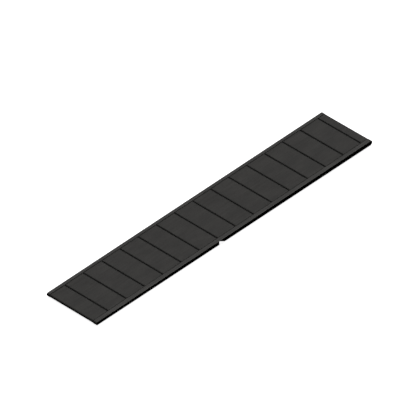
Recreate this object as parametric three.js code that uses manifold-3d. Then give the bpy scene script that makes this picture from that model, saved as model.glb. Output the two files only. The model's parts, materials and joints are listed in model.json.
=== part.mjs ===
// A cleated flat conveyor belt of two-ply rubber, closed into one long flat loop by a laced
// hinge splice in its lower run. Millimetres, +Z up.
// +X runs along the loop towards its thicker end, and -Y is the edge that has the wider band.
// The origin is under the middle of the loop, on the surface that the lower cleats stand on.

import * as THREE from "three";
import { mergeVertices } from "three/addons/utils/BufferGeometryUtils.js";
import Module from "manifold-3d";

const wasm = await Module();
wasm.setup();

// ---- Driving dimensions -------------------------------------------------------------------

const GAP = 0.3; // between pieces that lie against each other

// The loop, seen from its side. Both radii are to the outer face of the belt.
const RUN_LENGTH = 6040;
const LEFT_RADIUS = 27;
const RIGHT_RADIUS = 38;
const HINGES_PER_BEND = 2;

// The belt
const BELT_WIDTH = 1040;
const BELT_THICKNESS = 4;
const BAND_HEIGHT = 3;
const FAR_BAND_WIDTH = 58;
const NEAR_BAND_WIDTH = 70;

// The cleats, moulded across the outer face
const CLEAT_PITCH = 400;
const CLEAT_HEIGHT = 12;
const CLEAT_BASE = 20;
const CLEAT_CREST = 9;
const CLEAT_FAR_MARGIN = 64;
const CLEAT_NEAR_MARGIN = 82;
const UPPER_CLEATS = 15;
const FIRST_UPPER_CLEAT = 303; // from the left end of the upper run
const LOWER_RIGHT_CLEATS = 8;
const LOWER_LEFT_CLEATS = 7;

// The guide strip that keeps the belt on its rollers, on the inner face
const GUIDE_Y = -430;
const GUIDE_HEIGHT = 9;
const GUIDE_BASE = 13;
const GUIDE_CREST = 8;
const GUIDE_SEAT_DEPTH = 0.5;
const GUIDE_END_GAP = 40; // left bare each side of the splice for the clips
const TOOTH_ANGLE = THREE.MathUtils.degToRad(26);

// The laced splice: two rows of clips that interlock round one hinge pin
const SPLICE_X = 2726; // from the left end of the lower run
const BELT_END_GAP = 6; // from the pin's axis to each end of the belt
const CORNER_CUT = 55;
const CLIP_COUNT = 5;
const CLIP_LEG = 30;
const CLIP_SHEET = 1.2;
const CLIP_SPACING = 0.5;
const FINGERS_PER_CLIP = 6;
const FINGER_SIDE_GAP = 0.6;
const FINGER_ROOT = 6;
const BAND_CLEARANCE = 2;
const PIN_RADIUS = 2;
const PIN_HEAD_RADIUS = 3.2;
const PIN_HEAD_LENGTH = 5;
const PIN_TIP = 4;

const ARC_SEGMENTS = 5; // half the facets of an arc of the belt
const CLIP_ARC_SEGMENTS = 4;

// ---- Derived places -----------------------------------------------------------------------

const HALF_WIDTH = BELT_WIDTH / 2;
const TILT = 2 * Math.atan((RIGHT_RADIUS - LEFT_RADIUS) / RUN_LENGTH);
const LEFT_WRAP = Math.PI - TILT;
const RIGHT_WRAP = Math.PI + TILT;
const LEFT_X = (LEFT_RADIUS - RIGHT_RADIUS - RUN_LENGTH) / 2;
const RIGHT_X = LEFT_X + RUN_LENGTH;
const LEFT_Z = CLEAT_HEIGHT + LEFT_RADIUS;
const RIGHT_Z = CLEAT_HEIGHT + RIGHT_RADIUS;
const QUARTER = Math.PI / 2;

const FAR_BAND = { low: HALF_WIDTH - FAR_BAND_WIDTH, high: HALF_WIDTH };
const NEAR_BAND = { low: -HALF_WIDTH, high: NEAR_BAND_WIDTH - HALF_WIDTH };
const CLEAT_FAR_END = HALF_WIDTH - CLEAT_FAR_MARGIN;
const CLEAT_NEAR_END = CLEAT_NEAR_MARGIN - HALF_WIDTH;

const CLIPS_LOW = NEAR_BAND.high + BAND_CLEARANCE;
const CLIPS_HIGH = FAR_BAND.low - BAND_CLEARANCE;
const CLIP_PITCH = (CLIPS_HIGH - CLIPS_LOW) / CLIP_COUNT;

// Cleats keep one pitch round the whole loop, measured along the middle of the belt.
const leftArc = LEFT_WRAP * (LEFT_RADIUS - BELT_THICKNESS / 2);
const rightArc = RIGHT_WRAP * (RIGHT_RADIUS - BELT_THICKNESS / 2);
const lastUpperCleat = FIRST_UPPER_CLEAT + (UPPER_CLEATS - 1) * CLEAT_PITCH;
const firstLowerRight = CLEAT_PITCH - (RUN_LENGTH - lastUpperCleat) - rightArc;
const lastLowerLeft = RUN_LENGTH - (CLEAT_PITCH - FIRST_UPPER_CLEAT - leftArc);

// ---- Materials ----------------------------------------------------------------------------

function coverRubber() {
  return new THREE.MeshStandardMaterial({ color: 0x33322f, roughness: 0.82, metalness: 0 });
}

function cleatRubber() {
  return new THREE.MeshStandardMaterial({ color: 0x2b2a28, roughness: 0.75, metalness: 0 });
}

function guideRubber() {
  return new THREE.MeshStandardMaterial({ color: 0x242423, roughness: 0.7, metalness: 0 });
}

function springSteel() {
  return new THREE.MeshStandardMaterial({ color: 0x9a9a98, roughness: 0.4, metalness: 1 });
}

// ---- Solids -------------------------------------------------------------------------------

function solidOf(geometry) {
  geometry.deleteAttribute("normal");
  geometry.deleteAttribute("uv");
  const merged = mergeVertices(geometry);
  const vertProperties = new Float32Array(merged.attributes.position.array);
  const triVerts = new Uint32Array(merged.index.array);
  return new wasm.Manifold(new wasm.Mesh({ numProp: 3, vertProperties, triVerts }));
}

function geometryOf(solid) {
  const mesh = solid.getMesh();
  const geometry = new THREE.BufferGeometry();
  geometry.setAttribute("position", new THREE.BufferAttribute(mesh.vertProperties, 3));
  geometry.setIndex(new THREE.BufferAttribute(mesh.triVerts, 1));
  return geometry;
}

// A side view, drawn in X and Z, given its width from low to high along Y.
function acrossBelt(outline, low, high, curveSegments = ARC_SEGMENTS) {
  const options = { depth: high - low, bevelEnabled: false, curveSegments };
  const geometry = new THREE.ExtrudeGeometry(outline, options);
  geometry.rotateX(QUARTER);
  geometry.translate(0, high, 0);
  return geometry;
}

function box(xLow, xHigh, yLow, yHigh, zLow, zHigh) {
  const geometry = new THREE.BoxGeometry(xHigh - xLow, yHigh - yLow, zHigh - zLow);
  geometry.translate((xLow + xHigh) / 2, (yLow + yHigh) / 2, (zLow + zHigh) / 2);
  return solidOf(geometry);
}

function named(name, geometry, material) {
  const mesh = new THREE.Mesh(geometry, material);
  mesh.name = name;
  return mesh;
}

// Two ways to draw a stretch of belt from the side. Each gives the stretch's ends, and returns
// a function that draws the layer between two heights above the belt's outer face.

function straightStretch(from, to) {
  return (low, high) => {
    const layer = new THREE.Shape();
    layer.moveTo(from, low);
    layer.lineTo(to, low);
    layer.lineTo(to, high);
    layer.lineTo(from, high);
    layer.closePath();
    return layer;
  };
}

// Round the origin. The angles are the first and the last in the direction of travel.
function curvedStretch(radius, from, to) {
  return (low, high) => {
    const layer = new THREE.Shape();
    layer.absarc(0, 0, radius + high, from, to, true);
    layer.absarc(0, 0, radius + low, to, from, false);
    return layer;
  };
}

// The belt's section: a flat carcass with a raised band along each edge of the outer face.
function beltSolid(layerOf) {
  const carcass = layerOf(-BELT_THICKNESS, 0);
  const band = layerOf(-BELT_THICKNESS / 2, BAND_HEIGHT);
  return solidOf(acrossBelt(carcass, -HALF_WIDTH, HALF_WIDTH))
    .add(solidOf(acrossBelt(band, FAR_BAND.low, FAR_BAND.high)))
    .add(solidOf(acrossBelt(band, NEAR_BAND.low, NEAR_BAND.high)));
}

// A curved piece of belt whose arc is centred on x, z.
function curvedBelt(name, x, z, radius, from, to) {
  const gap = GAP / 2 / (radius - BELT_THICKNESS);
  const solid = beltSolid(curvedStretch(radius, from - gap, to + gap));
  const piece = named(name, geometryOf(solid), coverRubber());
  piece.position.set(x, 0, z);
  return piece;
}

// ---- Straight runs ------------------------------------------------------------------------
// A run is built from its upstream end: X is the travel and Z points out of the loop. It takes
// the first part of each end's curve, as far as the hinge.

function straightBelt() {
  const belt = beltSolid(straightStretch(GAP / 2, RUN_LENGTH - GAP / 2));
  const seatHalf = GUIDE_BASE / 2 + GAP;
  const seatTop = -BELT_THICKNESS + GUIDE_SEAT_DEPTH;
  const seat = box(
    -GUIDE_BASE,
    RUN_LENGTH + GUIDE_BASE,
    GUIDE_Y - seatHalf,
    GUIDE_Y + seatHalf,
    -2 * BELT_THICKNESS,
    seatTop,
  );
  return belt.subtract(seat);
}

function curveBeforeRun(name, radius, wrap) {
  const share = wrap / (2 * HINGES_PER_BEND);
  return curvedBelt(name, 0, -radius, radius, QUARTER + share, QUARTER);
}

function curveAfterRun(name, radius, wrap) {
  const share = wrap / (2 * HINGES_PER_BEND);
  return curvedBelt(name, RUN_LENGTH, -radius, radius, QUARTER, QUARTER - share);
}

// What is cut away beyond a belt end: the rest of the run, and both corners at 45 degrees.
// side is 1 when the belt lies upstream of the splice, and -1 when it lies downstream.
function spliceCutter(spliceAt, side) {
  const end = spliceAt - side * BELT_END_GAP;
  const corner = end - side * CORNER_CUT;
  const beyond = spliceAt + side * 2 * RUN_LENGTH;
  const past = HALF_WIDTH + BELT_THICKNESS;
  const plan = new THREE.Shape();
  plan.moveTo(end, HALF_WIDTH - CORNER_CUT);
  plan.lineTo(corner - side * BELT_THICKNESS, past);
  plan.lineTo(beyond, past);
  plan.lineTo(beyond, -past);
  plan.lineTo(corner - side * BELT_THICKNESS, -past);
  plan.lineTo(end, CORNER_CUT - HALF_WIDTH);
  plan.closePath();
  const depth = 4 * RIGHT_RADIUS;
  const geometry = new THREE.ExtrudeGeometry(plan, { depth, bevelEnabled: false });
  geometry.translate(0, 0, -depth / 2);
  return solidOf(geometry);
}

function guideStrip(name, from, to) {
  const base = -BELT_THICKNESS + GUIDE_SEAT_DEPTH - GAP;
  const crest = -BELT_THICKNESS - GUIDE_HEIGHT;
  const section = new THREE.Shape();
  section.moveTo(-base, GUIDE_Y - GUIDE_BASE / 2);
  section.lineTo(-base, GUIDE_Y + GUIDE_BASE / 2);
  section.lineTo(-crest, GUIDE_Y + GUIDE_CREST / 2);
  section.lineTo(-crest, GUIDE_Y - GUIDE_CREST / 2);
  section.closePath();
  const geometry = new THREE.ExtrudeGeometry(section, { depth: to - from, bevelEnabled: false });
  geometry.rotateY(QUARTER);
  geometry.translate(from, 0, 0);
  return named(name, geometry, guideRubber());
}

function cleat(name, at) {
  const profile = new THREE.Shape();
  profile.moveTo(-CLEAT_BASE / 2, GAP);
  profile.lineTo(CLEAT_BASE / 2, GAP);
  profile.lineTo(CLEAT_CREST / 2, CLEAT_HEIGHT);
  profile.lineTo(-CLEAT_CREST / 2, CLEAT_HEIGHT);
  profile.closePath();
  const mesh = named(name, acrossBelt(profile, CLEAT_NEAR_END, CLEAT_FAR_END), cleatRubber());
  mesh.position.x = at;
  return mesh;
}

function upperRun() {
  const run = new THREE.Group();
  run.position.set(
    LEFT_X - LEFT_RADIUS * Math.sin(TILT),
    0,
    LEFT_Z + LEFT_RADIUS * Math.cos(TILT),
  );
  run.rotation.y = -TILT;
  run.add(named("upper_belt_run", geometryOf(straightBelt()), coverRubber()));
  run.add(curveBeforeRun("upper_left_curve", LEFT_RADIUS, LEFT_WRAP));
  run.add(curveAfterRun("upper_right_curve", RIGHT_RADIUS, RIGHT_WRAP));
  run.add(guideStrip("upper_tracking_guide", 0, RUN_LENGTH));
  for (let index = 0; index < UPPER_CLEATS; index += 1) {
    const label = String(index + 1).padStart(2, "0");
    run.add(cleat(`upper_cleat_${label}`, FIRST_UPPER_CLEAT + index * CLEAT_PITCH));
  }
  return run;
}

function lowerRun() {
  const run = new THREE.Group();
  run.position.set(RIGHT_X, 0, CLEAT_HEIGHT);
  run.rotation.y = Math.PI;
  const spliceAt = RUN_LENGTH - SPLICE_X;
  const belt = straightBelt();
  const rightBelt = belt.subtract(spliceCutter(spliceAt, 1));
  const leftBelt = belt.subtract(spliceCutter(spliceAt, -1));
  run.add(named("lower_right_belt_run", geometryOf(rightBelt), coverRubber()));
  run.add(named("lower_left_belt_run", geometryOf(leftBelt), coverRubber()));
  run.add(curveBeforeRun("lower_right_curve", RIGHT_RADIUS, RIGHT_WRAP));
  run.add(curveAfterRun("lower_left_curve", LEFT_RADIUS, LEFT_WRAP));
  run.add(guideStrip("lower_right_tracking_guide", 0, spliceAt - GUIDE_END_GAP));
  run.add(guideStrip("lower_left_tracking_guide", spliceAt + GUIDE_END_GAP, RUN_LENGTH));
  for (let index = 0; index < LOWER_RIGHT_CLEATS; index += 1) {
    run.add(cleat(`lower_right_cleat_${index + 1}`, firstLowerRight + index * CLEAT_PITCH));
  }
  for (let index = 0; index < LOWER_LEFT_CLEATS; index += 1) {
    run.add(cleat(`lower_left_cleat_${index + 1}`, lastLowerLeft - index * CLEAT_PITCH));
  }
  run.add(splice(spliceAt));
  return run;
}

// ---- End bends ----------------------------------------------------------------------------
// Each bend is one stiff body between two hinges. It is made as an upper and a lower half, and
// each half carries one guide tooth.

function bendTooth(name, x, z, radius, middle) {
  const half = TOOTH_ANGLE / 2;
  const layerOf = curvedStretch(radius, middle + half, middle - half);
  const layer = layerOf(-BELT_THICKNESS - GUIDE_HEIGHT, -BELT_THICKNESS - GAP);
  const halfWidth = (GUIDE_BASE + GUIDE_CREST) / 4;
  const geometry = acrossBelt(layer, GUIDE_Y - halfWidth, GUIDE_Y + halfWidth);
  const tooth = named(name, geometry, guideRubber());
  tooth.position.set(x, 0, z);
  return tooth;
}

// The words name the halves in the direction of travel. start is the angle at which the belt
// meets the bend.
function bend(name, words, x, z, radius, start, wrap) {
  const bendSpan = wrap / HINGES_PER_BEND;
  const span = bendSpan / words.length;
  const group = new THREE.Group();
  words.forEach((word, index) => {
    const from = start - bendSpan / 2 - span * index;
    group.add(curvedBelt(`${name}_${word}_half`, x, z, radius, from, from - span));
    group.add(bendTooth(`${name}_${word}_tooth`, x, z, radius, from - span / 2));
  });
  return group;
}

function rightBend() {
  const words = ["upper", "lower"];
  return bend("right_bend", words, RIGHT_X, RIGHT_Z, RIGHT_RADIUS, QUARTER + TILT, RIGHT_WRAP);
}

function leftBend() {
  const words = ["lower", "upper"];
  return bend("left_bend", words, LEFT_X, LEFT_Z, LEFT_RADIUS, 3 * QUARTER, LEFT_WRAP);
}

// ---- Laced splice -------------------------------------------------------------------------

// A clip is one folded sheet: two legs that grip the belt's end, and fingers round the pin.
function clipGeometry() {
  const inner = BELT_THICKNESS / 2 + GAP;
  const outer = inner + CLIP_SHEET;
  const width = CLIP_PITCH - CLIP_SPACING;
  const profile = new THREE.Shape();
  profile.moveTo(-CLIP_LEG, outer);
  profile.absarc(0, 0, outer, QUARTER, -QUARTER, true);
  profile.lineTo(-CLIP_LEG, -outer);
  profile.lineTo(-CLIP_LEG, -inner);
  profile.absarc(0, 0, inner, -QUARTER, QUARTER, false);
  profile.lineTo(-CLIP_LEG, inner);
  profile.closePath();
  let clip = solidOf(acrossBelt(profile, -width / 2, width / 2, CLIP_ARC_SEGMENTS));
  const slot = CLIP_PITCH / (2 * FINGERS_PER_CLIP);
  for (let index = 0; index < FINGERS_PER_CLIP; index += 1) {
    const low = -CLIP_PITCH / 2 + slot * (2 * index + 1);
    const cutLow = low - FINGER_SIDE_GAP;
    const cutHigh = low + slot + FINGER_SIDE_GAP;
    clip = clip.subtract(box(-FINGER_ROOT, 2 * outer, cutLow, cutHigh, -2 * outer, 2 * outer));
  }
  return geometryOf(clip);
}

function hingePin() {
  const headLow = CLIPS_LOW - GAP - PIN_HEAD_LENGTH;
  const shankLow = CLIPS_LOW - GAP;
  const tip = CLIPS_HIGH + PIN_TIP;
  const profile = [
    new THREE.Vector2(0, headLow),
    new THREE.Vector2(PIN_HEAD_RADIUS, headLow),
    new THREE.Vector2(PIN_HEAD_RADIUS, shankLow),
    new THREE.Vector2(PIN_RADIUS, shankLow),
    new THREE.Vector2(PIN_RADIUS, tip),
    new THREE.Vector2(0, tip),
  ];
  return named("splice_hinge_pin", new THREE.LatheGeometry(profile, 16), springSteel());
}

function splice(at) {
  const group = new THREE.Group();
  group.position.set(at, 0, -BELT_THICKNESS / 2);
  for (let index = 0; index < CLIP_COUNT; index += 1) {
    const y = CLIPS_LOW + CLIP_PITCH * (index + 0.5);
    const right = named(`splice_clip_right_${index + 1}`, clipGeometry(), springSteel());
    right.position.y = y;
    const left = named(`splice_clip_left_${index + 1}`, clipGeometry(), springSteel());
    left.position.y = y;
    left.rotation.z = Math.PI;
    group.add(right, left);
  }
  group.add(hingePin());
  return group;
}

// ---- The belt -----------------------------------------------------------------------------

const belt = new THREE.Group();
belt.add(upperRun(), rightBend(), lowerRun(), leftBend());

export default belt;
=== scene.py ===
"""A cleated rubber conveyor belt, closed into one long flat loop by a laced hinge splice.

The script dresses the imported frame: belt panels and end bends swept from one section, moulded
cleats with their stiffener rods, notched guide strips, the laced splice, and then the floor,
the light and the camera. Metres throughout, +Z up.
"""

import json
import logging
import math
from dataclasses import dataclass
from enum import Enum, IntEnum

import bmesh
import bpy
from mathutils import Matrix, Vector


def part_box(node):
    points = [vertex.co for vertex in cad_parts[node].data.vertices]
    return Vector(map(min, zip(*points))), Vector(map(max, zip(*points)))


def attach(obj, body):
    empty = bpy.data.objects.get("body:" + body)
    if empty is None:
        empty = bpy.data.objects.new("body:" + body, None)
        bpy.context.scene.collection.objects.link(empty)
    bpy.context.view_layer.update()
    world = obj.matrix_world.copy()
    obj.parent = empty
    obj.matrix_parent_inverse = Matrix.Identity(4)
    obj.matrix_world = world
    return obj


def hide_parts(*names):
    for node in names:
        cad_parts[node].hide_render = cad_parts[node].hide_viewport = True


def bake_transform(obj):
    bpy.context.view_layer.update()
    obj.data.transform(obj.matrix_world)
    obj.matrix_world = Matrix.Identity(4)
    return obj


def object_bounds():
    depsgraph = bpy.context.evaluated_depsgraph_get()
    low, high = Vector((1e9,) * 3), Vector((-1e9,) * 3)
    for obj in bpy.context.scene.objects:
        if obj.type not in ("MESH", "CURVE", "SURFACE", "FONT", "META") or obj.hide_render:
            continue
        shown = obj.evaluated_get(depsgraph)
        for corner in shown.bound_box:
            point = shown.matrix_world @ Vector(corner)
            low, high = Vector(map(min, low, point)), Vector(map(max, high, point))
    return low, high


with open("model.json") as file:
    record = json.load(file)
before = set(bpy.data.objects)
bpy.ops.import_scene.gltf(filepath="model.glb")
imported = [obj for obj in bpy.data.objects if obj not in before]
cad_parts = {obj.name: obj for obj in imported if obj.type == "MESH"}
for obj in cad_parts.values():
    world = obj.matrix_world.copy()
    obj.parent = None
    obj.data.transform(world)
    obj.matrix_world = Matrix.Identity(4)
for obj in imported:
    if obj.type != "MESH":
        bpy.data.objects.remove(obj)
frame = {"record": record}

MM = 0.001
CAD_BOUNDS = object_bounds()
SURFACE_MAP = "belt_metres"
WEAR = "wear"
HALVES = ("upper", "lower")
# Heights that differ by less than NEAR are level, and points closer than MERGE become one.
NEAR = 0.1 * MM
MERGE = 0.01 * MM
SHARP_ANGLE = math.radians(32)
# Shares of a bend strip: where its two teeth stand, and where it leaves each of its bodies.
TOOTH_SHARES = (0.25, 0.75)
TURN_STARTS = 0.03
# Places of a Mix node's colour sockets.
MIX_FIRST, MIX_SECOND, MIX_RESULT = 6, 7, 2

Mesh = bmesh.types.BMesh
Piece = bpy.types.Object
Material = bpy.types.Material
Socket = bpy.types.NodeSocket
Colour = tuple[float, float, float, float]
Axes = tuple[float, float, float]

log = logging.getLogger("conveyor_belt")


# ---- Names and small helpers --------------------------------------------------------------


class Slot(Enum):
    """The record's material slots."""

    COVER = "cover_rubber"
    CLEAT = "cleat_rubber"
    GUIDE = "guide_rubber"
    STEEL = "splice_steel"


class Face(IntEnum):
    """The finishes of a belt panel, as the places of its materials."""

    COVER = 0
    INNER = 1
    BAND = 2
    CUT = 3
    GROOVE = 4


def rounded(bm: Mesh, geom: list, offset: float, segments: int = 2) -> None:
    """Bevel edges to a round.

    Args:
        bm: The mesh being shaped.
        geom: The edges to bevel.
        offset: Width of the round from the old corner.
        segments: Facets across the round.
    """
    bmesh.ops.bevel(
        bm,
        geom=geom,
        offset=offset,
        segments=segments,
        profile=0.5,
        affect="EDGES",
        material=-1,
        clamp_overlap=True,
    )


def to_object(bm: Mesh, name: str, materials: list[Material]) -> Piece:
    """Turn a finished bmesh into a shown object at the origin.

    Args:
        bm: The mesh, already in its place in the frame. It is freed.
        name: The piece's name.
        materials: Its materials, in the order of its faces' indices.

    Returns:
        The linked object, shaded smooth with its real corners kept sharp.
    """
    mesh = bpy.data.meshes.new(name)
    bm.to_mesh(mesh)
    bm.free()
    for material in materials:
        mesh.materials.append(material)
    mesh.shade_smooth()
    mesh.set_sharp_from_angle(angle=SHARP_ANGLE)
    piece = bpy.data.objects.new(name, mesh)
    bpy.context.scene.collection.objects.link(piece)
    return piece


def outline_face(bm: Mesh, points: list[Vector]) -> bmesh.types.BMFace:
    """Draw a closed outline as one face."""
    return bm.faces.new([bm.verts.new(point) for point in points])


def extrude_along(bm: Mesh, section: bmesh.types.BMFace, travel: Vector) -> bmesh.types.BMFace:
    """Pull a face along a straight line. The face it started from stays, so both ends close.

    Args:
        bm: The mesh being shaped.
        section: The face to pull.
        travel: How far and which way.

    Returns:
        The face at the far end.
    """
    made = bmesh.ops.extrude_face_region(bm, geom=[section], use_keep_orig=True)
    far = next(item for item in made["geom"] if isinstance(item, bmesh.types.BMFace))
    bmesh.ops.translate(bm, verts=far.verts[:], vec=travel)
    return far


# ---- Finishes -----------------------------------------------------------------------------


class Board:
    """A short way to lay out the nodes of one material."""

    def __init__(self, name: str) -> None:
        """Start a material with a Principled shader.

        Args:
            name: The material's name.
        """
        self.material = bpy.data.materials.new(name)
        self.material.use_nodes = True
        self.tree = self.material.node_tree
        self.shader = self.tree.nodes["Principled BSDF"]

    def add(self, kind: str, settings: dict | None = None, inputs: dict | None = None) -> bpy.types.Node:
        """Add a node.

        Args:
            kind: The node's type name after "ShaderNode".
            settings: Attributes to set on the node.
            inputs: Socket name or place to a value or to an output socket to link.

        Returns:
            The node.
        """
        node = self.tree.nodes.new("ShaderNode" + kind)
        for key, value in (settings or {}).items():
            setattr(node, key, value)
        for key, value in (inputs or {}).items():
            self.feed(node.inputs[key], value)
        return node

    def feed(self, socket: Socket, value: object) -> None:
        """Link an output to a socket, or set the socket's own value.

        Args:
            socket: The socket to feed.
            value: An output socket, or a value.
        """
        if isinstance(value, bpy.types.NodeSocket):
            self.tree.links.new(value, socket)
        else:
            socket.default_value = value

    def surface(self) -> Socket:
        """The belt's own map: metres along the loop, and metres across it."""
        return self.add("UVMap", {"uv_map": SURFACE_MAP}).outputs["UV"]

    def place(self) -> Socket:
        """The piece's place in the frame."""
        return self.add("TexCoord").outputs["Object"]

    def stretched(self, vector: Socket, scale: Axes) -> Socket:
        """Scale coordinates by axis."""
        return self.add("Mapping", inputs={"Vector": vector, "Scale": scale}).outputs["Vector"]

    def noise(self, vector: Socket, scale: float, detail: float = 4.0, rough: float = 0.55) -> Socket:
        """Cloudy noise, about 0 to 1.

        Args:
            vector: Coordinates.
            scale: Clouds in one unit of the coordinates.
            detail: How many finer clouds lie on the first.
            rough: How strong the finer clouds are.

        Returns:
            The noise.
        """
        inputs = {"Vector": vector, "Scale": scale, "Detail": detail, "Roughness": rough}
        return self.add("TexNoise", inputs=inputs).outputs["Fac"]

    def drawn(self, vector: Socket, scale: Axes, detail: float, rough: float = 0.55) -> Socket:
        """Cloudy noise drawn out by axis."""
        return self.noise(self.stretched(vector, scale), 1.0, detail, rough)

    def band(
        self, value: Socket, low: float, high: float, to_low: float = 0.0, to_high: float = 1.0
    ) -> Socket:
        """Map one range of a value to another, clamped.

        Args:
            value: The value.
            low: Where the first range starts.
            high: Where the first range ends.
            to_low: Where the second range starts.
            to_high: Where the second range ends.

        Returns:
            The value in the second range.
        """
        inputs = {"Value": value, "From Min": low, "From Max": high, "To Min": to_low, "To Max": to_high}
        return self.add("MapRange", {"clamp": True}, inputs).outputs["Result"]

    def math(self, operation: str, first: object, second: object = 0.0) -> Socket:
        """One step of arithmetic.

        Args:
            operation: The node's operation.
            first: Its first value.
            second: Its second value.

        Returns:
            The result.
        """
        node = self.add("Math", {"operation": operation}, {0: first})
        self.feed(node.inputs[1], second)
        return node.outputs[0]

    def mix(self, factor: object, first: object, second: object) -> Socket:
        """Mix two colours.

        Args:
            factor: How much of the second shows.
            first: The first colour.
            second: The second colour.

        Returns:
            The mixed colour.
        """
        node = self.add("Mix", {"data_type": "RGBA"}, {"Factor": factor})
        self.feed(node.inputs[MIX_FIRST], first)
        self.feed(node.inputs[MIX_SECOND], second)
        return node.outputs[MIX_RESULT]

    def weave(self, vector: Socket, pitch: float) -> Socket:
        """The over and under of a plain woven cloth, 0 to 1.

        Args:
            vector: Coordinates in metres.
            pitch: Distance from thread to thread.

        Returns:
            The height of the thread that lies on top.
        """
        parts = self.add("SeparateXYZ", inputs={"Vector": vector}).outputs
        turns = math.pi / pitch
        warp = self.math("SINE", self.math("MULTIPLY", parts[0], turns))
        weft = self.math("SINE", self.math("MULTIPLY", parts[1], turns))
        return self.math("ABSOLUTE", self.math("MULTIPLY", warp, weft))

    def bump(self, height: Socket, depth: float, below: Socket | None = None) -> Socket:
        """Relief of a real depth.

        Args:
            height: The relief, 0 to 1.
            depth: Its depth in metres.
            below: The relief that it lies on, if any.

        Returns:
            The normal.
        """
        node = self.add("Bump", inputs={"Height": height, "Distance": depth, "Strength": 1.0})
        if below is not None:
            self.feed(node.inputs["Normal"], below)
        return node.outputs["Normal"]

    def finish(
        self, colour: object, roughness: object, normal: Socket | None = None, highlight: float = 0.5
    ) -> Material:
        """Feed the shader.

        Args:
            colour: Its colour.
            roughness: Its roughness.
            normal: Its relief, if any.
            highlight: Strength of its highlight.

        Returns:
            The material.
        """
        self.shader.inputs["Specular IOR Level"].default_value = highlight
        self.feed(self.shader.inputs["Base Color"], colour)
        self.feed(self.shader.inputs["Roughness"], roughness)
        if normal is not None:
            self.feed(self.shader.inputs["Normal"], normal)
        return self.material


def rgb(red: float, green: float, blue: float) -> Colour:
    """An opaque linear colour."""
    return (red, green, blue, 1.0)


def scaled(colour: Colour, factor: float) -> Colour:
    """A colour made lighter or darker."""
    return rgb(*(factor * part for part in colour[:3]))


@dataclass(frozen=True)
class BeltRubber:
    """Calendered rubber on a woven carcass, dusty and lightly scuffed along the travel.

    Attributes:
        name: The material's name.
        base: Clean colour.
        dust: Colour of the dust film.
        dustiness: How much of the dust colour its patches reach.
        weave_pitch: Thread spacing of the cloth that shows through.
        weave_depth: Depth of that imprint.
        roughness: Lowest and highest roughness.
        edge_at: Distance from the belt's middle where a painted highlight lightens the outer edge, or 0
            for none.
        edge: Colour of the painted edge highlight.
        edge_fade: Width over which the painted edge highlight comes in.
        edge_wander: How far its line wanders.
        patch_scale: Patches of tone in a metre, along the belt and across it.
        streak_scale: Scuff streaks in a metre, along the belt and across it.
        grain_scale: Grains in a metre.
        grain_depth: Depth of the grain.
        speckle_scale: Specks of dust in a metre.
    """

    name: str
    base: Colour
    dust: Colour
    dustiness: float
    weave_pitch: float
    weave_depth: float
    roughness: tuple[float, float]
    # The edge fields paint a highlight along the belt's outer edge.
    edge_at: float = 0.0
    edge: Colour = (0.08, 0.077, 0.072, 1.0)
    edge_fade: float = 5 * MM
    edge_wander: float = 6 * MM
    patch_scale: Axes = (2.2, 5.0, 1.0)
    streak_scale: Axes = (1.4, 120.0, 1.0)
    grain_scale: float = 260.0
    grain_depth: float = 0.12 * MM
    speckle_scale: float = 900.0

    def make(self) -> Material:
        """Build the material.

        Returns:
            The material.
        """
        board = Board(self.name)
        metres = board.surface()
        patches = board.drawn(metres, self.patch_scale, 5.0)
        grains = board.noise(metres, self.grain_scale, 3.0)
        streaks = board.drawn(metres, self.streak_scale, 3.0, 0.6)
        speckle = board.noise(metres, self.speckle_scale, 2.0)
        weave = board.weave(metres, self.weave_pitch)
        tone = board.band(patches, 0.3, 0.7, 0.86, 1.12)
        clean = board.mix(board.math("MULTIPLY", tone, 0.5), rgb(0, 0, 0), scaled(self.base, 2.0))
        film = board.math("MULTIPLY", board.band(patches, 0.45, 0.75), board.band(grains, 0.35, 0.65))
        scuffs = board.band(streaks, 0.6, 0.78, 0.0, 0.55)
        dusty = board.math("MULTIPLY", board.math("MAXIMUM", film, scuffs), self.dustiness)
        colour = board.mix(dusty, clean, self.dust)
        colour = board.mix(board.band(speckle, 0.68, 0.8, 0.0, 0.25), colour, self.dust)
        # Painted highlight: the outer edge of the band is painted paler, for the light that its rounded
        # rim catches.
        if self.edge_at:
            parts = board.add("SeparateXYZ", inputs={"Vector": metres}).outputs
            across = board.math("ABSOLUTE", parts[1])
            ragged = board.math("ADD", across, board.math("MULTIPLY", streaks, self.edge_wander))
            wear_and_painted_highlight = board.band(ragged, self.edge_at, self.edge_at + self.edge_fade, 0.0, 0.85)
            colour = board.mix(wear_and_painted_highlight, colour, self.edge)
        rough = board.band(board.math("ADD", streaks, grains), 0.7, 1.3, *self.roughness)
        relief = board.bump(weave, self.weave_depth)
        relief = board.bump(grains, self.grain_depth, relief)
        return board.finish(colour, rough, relief, highlight=0.35)


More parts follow.
